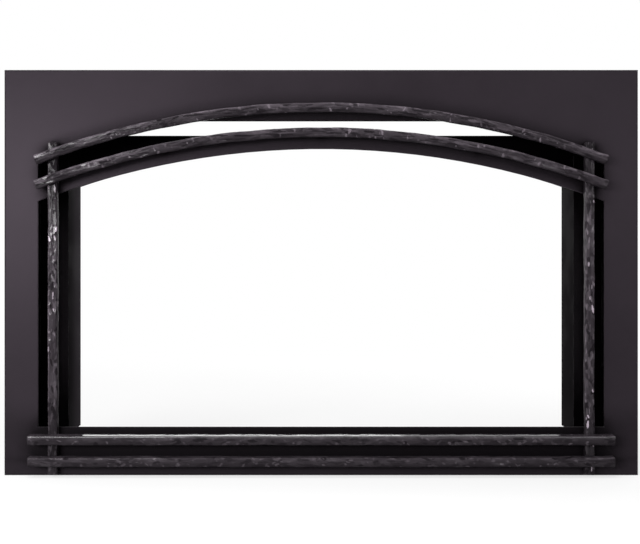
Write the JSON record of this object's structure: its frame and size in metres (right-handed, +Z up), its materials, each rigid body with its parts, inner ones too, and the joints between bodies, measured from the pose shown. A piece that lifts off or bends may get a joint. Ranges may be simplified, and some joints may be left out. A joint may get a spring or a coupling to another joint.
{
  "type": "fireplace insert front",
  "caption": "Steel fireplace insert surround with an arched, hammered-bar front that hooks onto a recessed black window frame and lifts off it for access.",
  "frame": {"origin": "on the hearth, in the middle of the width, in the wall plane that the panel's side and top returns end at", "axes": "+X to the right as seen from the room, +Y into the wall, +Z up; the face looks along -Y"},
  "size_m": [1.016, 0.154, 0.65],
  "materials": {
    "panel_paint": "satin charcoal paint on folded sheet",
    "forged_bar": "gloss black paint on hammered bar",
    "frame_black": "matt black heat-proof paint",
    "plated_steel": "zinc plated hardware"
  },
  "bodies": {
    "insert_frame": {"sill": "frame_black", "left_jamb": "frame_black", "right_jamb": "frame_black", "hood": "frame_black", "lintel": "frame_black", "left_hanger_bracket": "frame_black", "right_hanger_bracket": "frame_black", "frame_rivets": "frame_black", "bracket_rivets": "frame_black"},
    "face": {"surround_panel": "panel_paint", "upper_arch_rail": "forged_bar", "lower_arch_rail": "forged_bar", "upper_sill_rail": "forged_bar", "lower_sill_rail": "forged_bar", "left_post": "forged_bar", "right_post": "forged_bar", "crossing_studs": "plated_steel", "upper_arch_studs": "plated_steel", "post_top_studs": "plated_steel", "standoff_studs": "plated_steel", "standoffs": "frame_black", "stud_washers": "plated_steel", "stud_nuts": "plated_steel", "left_hanger_pins": "plated_steel", "right_hanger_pins": "plated_steel"}
  },
  "joints": [
    {"name": "lift_off", "type": "slide", "parent": "insert_frame", "child": "face", "axis": [0, 0, 1], "range_m": [0, 0.025]}
  ]
}
